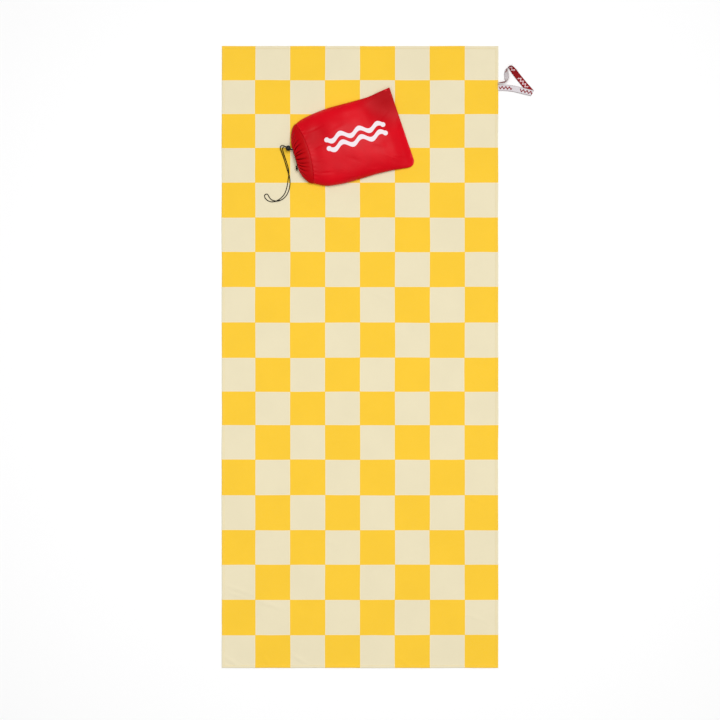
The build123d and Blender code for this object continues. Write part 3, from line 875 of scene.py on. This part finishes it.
def hanging_loop():
    """The woven tape: on edge out of the hem, over, flat, folded at the tip and back to the hem."""
    first, second = tape_sections()
    leg_out = smooth_curve(first, 150)
    fold = smooth_curve([first[-1], *fold_sections(), second[0]], 40)
    leg_back = smooth_curve(second, 110)
    rows = np.concatenate([leg_out[:-1], fold, leg_back[1:]])
    centres = rows[:, :3]
    across = rows[:, 3:]
    along = run_lengths(centres)
    red_side = np.cross(np.gradient(centres, axis=0), across)
    red_side /= np.linalg.norm(red_side, axis=1, keepdims=True)
    columns = np.linspace(-1, 1, 21)
    ripple = 0.35 * np.sin(along / 9.0) + 0.2 * np.sin(along / 3.7 + 1.0)
    bow = 0.25 * (1 - columns ** 2)[None, :] * ripple[:, None]
    thick = TAPE_THICKNESS / MM / 2 * (1 - 0.35 * np.abs(columns) ** 6)
    middle = centres[:, None] + across[:, None] * columns[None, :, None]
    grids = [middle + red_side[:, None] * (side * thick[None, :] + bow)[..., None] for side in (1, -1)]
    red, white, edge = sheet_faces(len(along), len(columns), flip=True)
    slots = [0] * len(red) + [1] * len(white) + [0] * len(edge)
    tape = make_piece("hanging_tape", np.array(grids) * MM, np.concatenate([red, white, edge]),
                      [TAPE_RED, TAPE_WHITE], "hanging_loop", None, face_slots=slots)
    uv = tape.data.uv_layers.new(name="tape")
    place = np.stack([np.repeat(along, len(columns)) * MM,
                      np.tile(columns, len(along)) * TAPE_WIDTH / 2], axis=1)
    for loop in tape.data.loops:
        uv.data[loop.index].uv = place[loop.vertex_index % len(place)]
    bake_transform(tape)


# -- pouch

SIDE_PLUS = [(-6, 120), (-20, 118), (-42, 115.5), (-71, 111.5), (-112, 111.5), (-152, 112), (-196, 112.5),
             (-235, 109), (-262, 105), (-280, 100.5), (-296.7, 93.5)]
SIDE_MINUS = [(4.8, -100.7), (1.5, -109.5), (-5.5, -115.5), (-17.4, -117.3), (-42, -114.5), (-66, -112),
              (-110, -110), (-152, -110.5), (-196, -110.5), (-230, -108), (-260, -102.5), (-293, -86)]
RISE_U = [5, 0, -6, -18, -42, -71, -112, -152, -196, -240, -284, -297]
RISE_FULL = [1.2, 2.5, 6.0, 14, 25, 33, 38, 40.5, 41, 38.0, 31.5, 29]
RISE_EAR = [0.6, 0.9, 1.2, 2.0, 5, 13, 30.5, 39.5, 41, 38.0, 31.5, 29]
MOUTH_U = -322.5
MOUTH_HALF = 33.0
MOUTH_MIDDLE_Z = 11.8
PANEL_ROWS = 170
PANEL_COLUMNS = 190
CASING_ROWS = 52
CASING_COLUMNS = 380
LIP_ROWS = 12
BUTTONHOLE_U = -323.3
BUTTONHOLE_V = 24.7
SEAM_BOW = 14.5


def ear_lift(u, v):
    """How far the upper corner of the bottom seam curls up, in mm."""
    return 11.0 * (1 - smooth_step(np.hypot(u + 6, v - 120), 0, 96))


def arch(s, fullness):
    """Height of the plumped cross-section, 0 at the side seams and 1 in the middle."""
    return np.clip(1 - np.abs(s) ** fullness, 0, 1) ** (1 / fullness)


def across_values(count):
    """Places across the pouch from one side seam (-1) to the other (1), closer near the seams."""
    t = np.linspace(-1, 1, count)
    return np.sin(t * pi / 2) * 0.55 + t * 0.45


def panel_row(side, share, s):
    """One line across the front (side 1) or back (side -1) panel, share of the way to the casing."""
    count = 400
    place = share * (count - 1)
    high, low = [[np.interp(place, np.arange(count), column) for column in smooth_curve(edge, count).T]
                 for edge in (SIDE_PLUS, SIDE_MINUS)]
    weight = (s + 1) / 2
    u = low[0] * (1 - weight) + high[0] * weight + SEAM_BOW * share ** 2 * (1 - s ** 2)
    v = low[1] * (1 - weight) + high[1] * weight
    full = smooth_value(u, RISE_U, RISE_FULL)
    ear = smooth_value(u, RISE_U, RISE_EAR)
    towards_ear = smooth_step(v, -30, 80)
    rise = full * (1 - towards_ear) + ear * towards_ear
    if side > 0:
        bulge = rise * arch(s, 2.15)
    else:
        bulge = -np.minimum(4.3, rise * 0.7 + 0.6) * arch(s, 4.0)
    z = SEAM_Z / MM + ear_lift(u, v) + bulge
    return np.stack([u, v, z], axis=1)


def panel_grid(side):
    """The front or back panel, from the bottom seam to the casing seam."""
    s = across_values(PANEL_COLUMNS)
    shares = np.linspace(0, 1, PANEL_ROWS)
    shares = shares * 0.75 + shares ** 2 * 0.25
    return np.array([panel_row(side, share, s) for share in shares])


def pleats(s, way, side):
    """Height of the gathers in mm: round ridges with sharp valleys, each with its own reach.

    way is the share of the way from the casing seam (0) to the mouth (1)."""
    draw = np.random.default_rng(7 if side > 0 else 8)
    count = 12
    places = np.linspace(-1, 1, count + 1)
    places[1:-1] += draw.uniform(-0.035, 0.035, count - 1)
    heights = draw.uniform(3.4, 5.4, count)
    reaches = draw.uniform(0.66, 1.0, count)
    total = np.zeros((len(way), len(s)))
    for start, end, height, reach in zip(places, places[1:], heights, reaches):
        inside = (s >= start) & (s < end)
        across = np.clip((s - start) / (end - start), 0, 1)
        ridge = np.sin(across * pi) ** 0.6
        split = 0.12 * np.abs(np.cos(across * pi)) ** 8
        along = smooth_step(way, 0.98 - reach, 1.08 - reach * 0.3)
        total += np.where(inside, (ridge - 0.8 + split) * height, 0)[None, :] * along[:, None]
    fine = np.sin(s * pi * 23 + 2.0 * np.sin(s * 11)) * 0.6
    return total + fine[None, :] * smooth_step(way, 0.55, 1.0)[:, None]


def casing_grid(side):
    """The gathered casing, from its seam to the drawn mouth and a short way in past the lip, with how
    far down in a valley each of its points lies."""
    s = across_values(CASING_COLUMNS)
    seam_u, seam_v, seam_z = panel_row(side, 1.0, s).T
    mouth_arch = side * arch(s, 2.2)
    mouth_z = MOUTH_MIDDLE_Z + mouth_arch * (10.2 if side > 0 else 9.4)
    angles = np.linspace(0, 1, CASING_ROWS) * pi / 2
    rows = []
    for angle in angles:
        rows.append([seam_u + (MOUTH_U - seam_u) * sin(angle),
                     seam_v + (s * MOUTH_HALF - seam_v) * (1 - cos(angle)) ** 0.85,
                     seam_z + (mouth_z - seam_z) * sin(angle) ** 1.5])
    lip_u = rows[-1][0]
    for t in np.arange(1, LIP_ROWS + 1) / LIP_ROWS:
        turn = min(1.0, t * 2.2)
        rows.append([lip_u - 0.9 * sin(pi * turn) + 16 * max(0.0, t - 0.4),
                     s * (MOUTH_HALF - 9.5 * turn ** 0.8),
                     MOUTH_MIDDLE_Z + mouth_arch * (10.0 - 5.6 * turn ** 0.7)])
    grid = np.moveaxis(np.array(rows), 1, 2)
    way = np.concatenate([np.sin(angles), np.ones(LIP_ROWS)])
    inward = np.concatenate([np.ones(CASING_ROWS), np.linspace(0.9, 0.2, LIP_ROWS)])
    fade = smooth_step(1 - np.abs(s), 0.0, 0.05)
    depth = pleats(s, way, side) * fade[None, :] * inward[:, None]
    grid = grid + grid_normals(grid) * side * depth[..., None]
    pulled_in = smooth_step(way, 0.85, 1.0)
    grid[..., 0] += np.clip(-depth, 0, 3) * 0.9 * pulled_in[:, None]
    # The second value, the share down each valley, sets the casing's painted shade
    return grid, np.clip(-depth / 2.2, 0, 1)


# Broad soft hollows in the front: u, v, reach along u, reach along v and depth, in mm
DENTS = [
    (-40, 70, 26, 40, 2.0), (-238, 44, 20, 42, 2.6), (-262, -20, 16, 30, 1.2),
    (-196, -52, 34, 18, 1.4), (-60, -38, 26, 30, 1.6), (-150, 74, 40, 16, 1.4),
]


# Creases in the pouch's front: start u, v, end u, v, half width and height, in mm
POUCH_CREASES = [
    (-30, -97, -74, -62, 3.5, 0.9), (-10, -86, -50, -72, 3.0, 0.6),
    (-18, 66, -74, 28, 5.5, -1.1), (-12, 102, -50, 62, 4.5, -1.0),
    (-28, 110, -86, 90, 4.0, 0.9), (-88, -102, -132, -92, 4.0, 0.8),
    (-148, -104, -208, -94, 4.0, 0.8), (-226, -74, -272, -64, 3.5, -0.9),
    (-232, 12, -276, 6, 3.5, -1.0), (-222, 66, -272, 58, 3.5, -1.0),
    (-244, -30, -275, -28, 3.0, 0.8), (-108, 104, -172, 98, 4.0, 0.8),
    (-214, 34, -152, 50, 7.0, 0.9), (-104, -16, -58, -46, 6.0, 0.8),
    (-186, -38, -140, -70, 6.0, -0.8),
]


def soft_wrinkles(grid, side):
    """Broad dents and small puckers that run in from the seams, in mm along the surface's normal."""
    normals = grid_normals(grid) * side
    s = across_values(PANEL_COLUMNS)[None, :]
    along = np.linspace(0, 1, PANEL_ROWS)[:, None]
    rim = 1 - np.abs(s)
    move = np.array([[rough(u / 55, v / 48, side * 3.1) * 1.7 + rough(u / 21, v / 34, side * 5.7 + 2) * 0.5
                      for u, v, _ in row] for row in grid])
    if side > 0:
        for place_u, place_v, reach_u, reach_v, depth in DENTS:
            away = ((grid[..., 0] - place_u) / reach_u) ** 2 + ((grid[..., 1] - place_v) / reach_v) ** 2
            move -= depth * np.exp(-away)
        move += crease_heights(grid[..., 0], grid[..., 1], POUCH_CREASES)
    pucker = np.exp(-(rim / 0.09) ** 2) * smooth_step(rim, 0.0, 0.03)
    move += pucker * np.sin(along * 2 * pi * 13 + 1.3 * np.sin(along * 17)) * 0.3
    end = np.exp(-((along - 0.03) / 0.06) ** 2)
    move += end * np.sin(s * pi * 9 + 0.9 * np.sin(s * 7)) * 0.25
    near_seam = np.exp(-((1 - along) / 0.030) ** 2)
    move += near_seam * (np.sin(s * pi * 13 + 1.4 * np.sin(s * 9)) * 0.45 + 0.7)
    fade = smooth_step(rim, 0.0, 0.02) * smooth_step(along, 0.0, 0.02) * smooth_step(1 - along, 0.0, 0.008)
    if side < 0:
        fade *= 0.3
    return grid + normals * (move * fade)[..., None]


def shell_piece(name, grid, side, material, node):
    """A pouch sheet as its own piece, with the thickness of the cloth."""
    grid = grid.copy()
    grid[..., 2] = np.maximum(grid[..., 2], POUCH_FLOOR / MM)
    faces = grid_faces(*grid.shape[:2], flip=side < 0)
    piece = make_piece(name, pouch_to_frame(grid * MM), faces, [material], node)
    thickness = piece.modifiers.new("cloth", "SOLIDIFY")
    thickness.thickness = 0.35 * MM
    thickness.offset = -1
    return piece


def buttonhole(name, side_v, node):
    """A ring of thread round the hole where both strands leave the casing."""
    turns = 46
    sides = 5
    half_wide = 2.3
    half_high = 4.2
    thick = 0.45
    thread_radius = 0.17
    around = np.linspace(0, 2 * pi, turns * 12, endpoint=False)
    out = thick * np.cos(around * turns)
    ring = np.stack([BUTTONHOLE_U + thick * np.sin(around * turns),
                     side_v + (half_wide + out) * np.cos(around),
                     MOUTH_MIDDLE_Z + 1.0 + (half_high + out) * np.sin(around)], axis=1)
    line = np.concatenate([ring, ring[:1]])
    grid = line[:, None] + outward_rings(line, sides)[0] * thread_radius
    faces = grid_faces(len(line), sides, closed=True, flip=True)
    make_piece(name, pouch_to_frame(grid * MM), faces, [POUCH_THREAD], node)


def seam_allowance(name, line, node):
    """A narrow doubled strip inside the pouch along one seam; line holds its outer edge in u and v."""
    near = 0.8
    far = 5.8
    half_thickness = 0.25
    tangent = np.gradient(line, axis=0)
    tangent /= np.linalg.norm(tangent, axis=1, keepdims=True)
    inward = np.stack([-tangent[:, 1], tangent[:, 0]], axis=1)
    pouch_middle = np.array([-150.0, 0.0])
    centre = len(line) // 2
    if np.sum((pouch_middle - line[centre]) * inward[centre]) < 0:
        inward = -inward
    wave = 0.12 * np.sin(np.arange(len(line)) * 0.9)
    rings = []
    for offset, rise in ((near, -1), (near, 1), (far, 1), (far, -1)):
        place = line + inward * offset
        level = SEAM_Z / MM + ear_lift(place[:, 0], place[:, 1])
        rings.append(np.column_stack([place, level + rise * half_thickness + wave]))
    faces = tube_faces(len(line), len(rings), flip=False)
    make_piece(name, pouch_to_frame(np.stack(rings, axis=1) * MM), faces, [NYLON], node,
               smooth=False)


def seam_allowances():
    """The cut edges inside the two side seams and the bottom seam."""
    seam_allowance("seam_allowance_upper", smooth_curve(SIDE_PLUS, 90)[3:-3], "side_seam_upper")
    seam_allowance("seam_allowance_lower", smooth_curve(SIDE_MINUS, 90)[8:-3], "side_seam_lower")
    ends = np.array([SIDE_MINUS[0], SIDE_PLUS[0]], float)
    seam_allowance("seam_allowance_bottom", even_points(ends, 60)[3:-5], "bottom_seam")


def casing_stitches(side, word, grid):
    """The row of stitches round the casing seam, where it stands clear of the towel."""
    row = grid[-3]
    normals = grid_normals(grid)[-3] * side
    line = pouch_to_frame((row + normals * 0.08) * MM)
    turned = pouch_to_frame((row + normals) * MM) - pouch_to_frame(row * MM)
    starts, ends, ups = stitches_along(line, turned, 3.0 * MM)
    keep = starts[:, 2] > POUCH_FLOOR + 0.4 * MM
    stitch_rows(f"casing_stitches_{word}", [(starts[keep], ends[keep], ups[keep])], 0.6 * MM, 0.45 * MM,
                POUCH_THREAD, f"casing_stitch_{word}")


def pouch():
    """Both panels, both halves of the casing and the casing's stitching."""
    for side, word, material in ((1, "front", NYLON_PRINTED), (-1, "back", NYLON)):
        grid = soft_wrinkles(panel_grid(side), side)
        casing, valleys = casing_grid(side)
        panel = shell_piece(f"pouch_{word}", grid, side, material, f"pouch_{word}_panel")
        band = shell_piece(f"casing_{word}_gathered", casing, side, NYLON_CASING,
                           f"casing_{word}")
        # painted shade, deepest in the valleys of the gathers
        valley = band.data.attributes.new("valley", "FLOAT", "POINT")
        valley.data.foreach_set("value", valleys.ravel())
        casing_stitches(side, word, grid)
    seam_allowances()
    buttonhole("buttonhole_by_lock", BUTTONHOLE_V, "buttonhole_lock_side")
    buttonhole("buttonhole_by_knot", -BUTTONHOLE_V, "buttonhole_knot_side")


# -- cord lock

def lock_spring():
    """The coil spring under the button, which closes up as the button is pressed."""
    low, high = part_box("cord_lock_spring")
    middle = (low + high) / 2
    wire_radius = 0.25 * MM
    coil_radius = (high.x - low.x) / 2 - wire_radius
    turns = 2.5
    sides = 14
    share = np.linspace(0, 1, 220)
    angles = share * turns * 2 * pi
    line = np.stack([middle.x + coil_radius * np.cos(angles), middle.y + coil_radius * np.sin(angles),
                     low.z + wire_radius + share * (high.z - low.z - 2 * wire_radius)], axis=1)
    rings = line[:, None] + outward_rings(line, sides)[0] * wire_radius
    spring = make_piece("lock_spring", rings, tube_faces(len(line), sides), [SPRING_STEEL],
                        "cord_lock_spring")
    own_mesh(spring)


def finish_kept_nodes():
    """Give each CAD node that stays its own material."""
    for node, material in (("cord_lock_barrel", LOCK_PLASTIC), ("cord_lock_button", BUTTON_PLASTIC)):
        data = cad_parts[node].data
        data.materials.clear()
        data.materials.append(material)


drawcord_loop()
casing_strands()
stopper_knot()
cloth = towel()
hems = hem_stitching()
tacks = loop_bartacks()
hanging_loop()
pouch()
lock_spring()
finish_kept_nodes()
